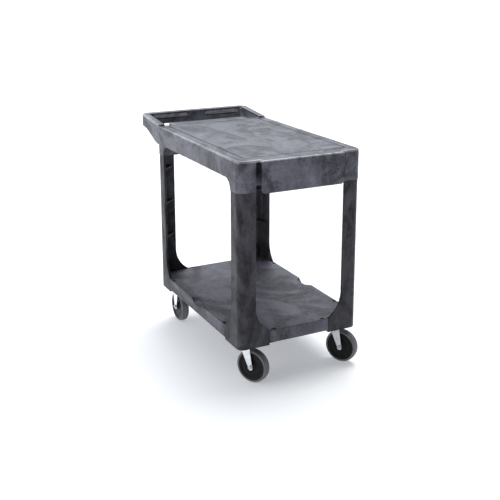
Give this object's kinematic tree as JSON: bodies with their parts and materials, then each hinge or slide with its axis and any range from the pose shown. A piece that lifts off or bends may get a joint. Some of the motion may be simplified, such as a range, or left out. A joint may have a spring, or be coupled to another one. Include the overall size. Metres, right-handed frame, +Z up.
{
  "type": "rolling utility cart",
  "caption": "Two-shelf flat-deck utility cart in marbled charcoal plastic, with angle legs, an end push handle and grey-tyred casters.",
  "frame": {"origin": "on the floor, midway along the whole cart and midway across its load deck", "axes": "+Z up, +Y towards the push handle, +X to the right of someone facing the handle end from the front of the cart"},
  "size_m": [0.5069, 0.9982, 0.871],
  "materials": {
    "deck_plastic": "structural foam, charcoal with pale grey swirls, satin",
    "shelf_plastic": "structural foam, charcoal with grey swirls and drifts, satin",
    "leg_plastic": "structural foam, dark charcoal with faint upright swirls, satin",
    "caster_steel": "bright zinc plate",
    "bolt_steel": "zinc plated, slightly duller",
    "hub_plastic": "near-black moulded hub",
    "tyre_rubber": "grey non-marking rubber"
  },
  "bodies": {
    "cart": {"top_shelf": "deck_plastic", "bottom_shelf": "shelf_plastic", "leg_front_left": "leg_plastic", "leg_front_right": "leg_plastic", "leg_rear_left": "leg_plastic", "leg_rear_right": "leg_plastic", "swivel_plate_left": "caster_steel", "swivel_plate_right": "caster_steel", "kingpin_left": "bolt_steel", "kingpin_right": "bolt_steel", "swivel_balls_left": "caster_steel", "swivel_balls_right": "caster_steel", "rigid_fork_left": "caster_steel", "rigid_fork_right": "caster_steel", "axle_bolt_rear_left": "bolt_steel", "axle_bolt_rear_right": "bolt_steel", "axle_nut_rear_left": "bolt_steel", "axle_nut_rear_right": "bolt_steel", "axle_sleeve_rear_left": "bolt_steel", "axle_sleeve_rear_right": "bolt_steel", "plate_bolts_front_left": "bolt_steel", "plate_bolts_front_right": "bolt_steel", "plate_bolts_rear_left": "bolt_steel", "plate_bolts_rear_right": "bolt_steel", "plate_nuts_front_left": "bolt_steel", "plate_nuts_front_right": "bolt_steel", "plate_nuts_rear_left": "bolt_steel", "plate_nuts_rear_right": "bolt_steel"},
    "swivel_left": {"swivel_fork_left": "caster_steel", "axle_bolt_front_left": "bolt_steel", "axle_nut_front_left": "bolt_steel", "axle_sleeve_front_left": "bolt_steel"},
    "swivel_right": {"swivel_fork_right": "caster_steel", "axle_bolt_front_right": "bolt_steel", "axle_nut_front_right": "bolt_steel", "axle_sleeve_front_right": "bolt_steel"},
    "wheel_front_left": {"wheel_hub_front_left": "hub_plastic", "tyre_front_left": "tyre_rubber"},
    "wheel_front_right": {"wheel_hub_front_right": "hub_plastic", "tyre_front_right": "tyre_rubber"},
    "wheel_rear_left": {"wheel_hub_rear_left": "hub_plastic", "tyre_rear_left": "tyre_rubber"},
    "wheel_rear_right": {"wheel_hub_rear_right": "hub_plastic", "tyre_rear_right": "tyre_rubber"}
  },
  "joints": [
    {"name": "swivel_turn_left", "type": "hinge", "parent": "cart", "child": "swivel_left", "pos_m": [-0.193, -0.40791, 0.1455], "axis": [0, 0, 1], "continuous": true},
    {"name": "swivel_turn_right", "type": "hinge", "parent": "cart", "child": "swivel_right", "pos_m": [0.193, -0.40791, 0.1455], "axis": [0, 0, 1], "continuous": true},
    {"name": "wheel_spin_front_left", "type": "hinge", "parent": "swivel_left", "child": "wheel_front_left", "pos_m": [-0.17497, -0.43791, 0.0635], "axis": [0.8572, 0.515, 0], "continuous": true},
    {"name": "wheel_spin_front_right", "type": "hinge", "parent": "swivel_right", "child": "wheel_front_right", "pos_m": [0.21103, -0.43791, 0.0635], "axis": [0.8572, 0.515, 0], "continuous": true},
    {"name": "wheel_spin_rear_left", "type": "hinge", "parent": "cart", "child": "wheel_rear_left", "pos_m": [-0.193, 0.22409, 0.0635], "axis": [1, 0, 0], "continuous": true},
    {"name": "wheel_spin_rear_right", "type": "hinge", "parent": "cart", "child": "wheel_rear_right", "pos_m": [0.193, 0.22409, 0.0635], "axis": [1, 0, 0], "continuous": true}
  ]
}
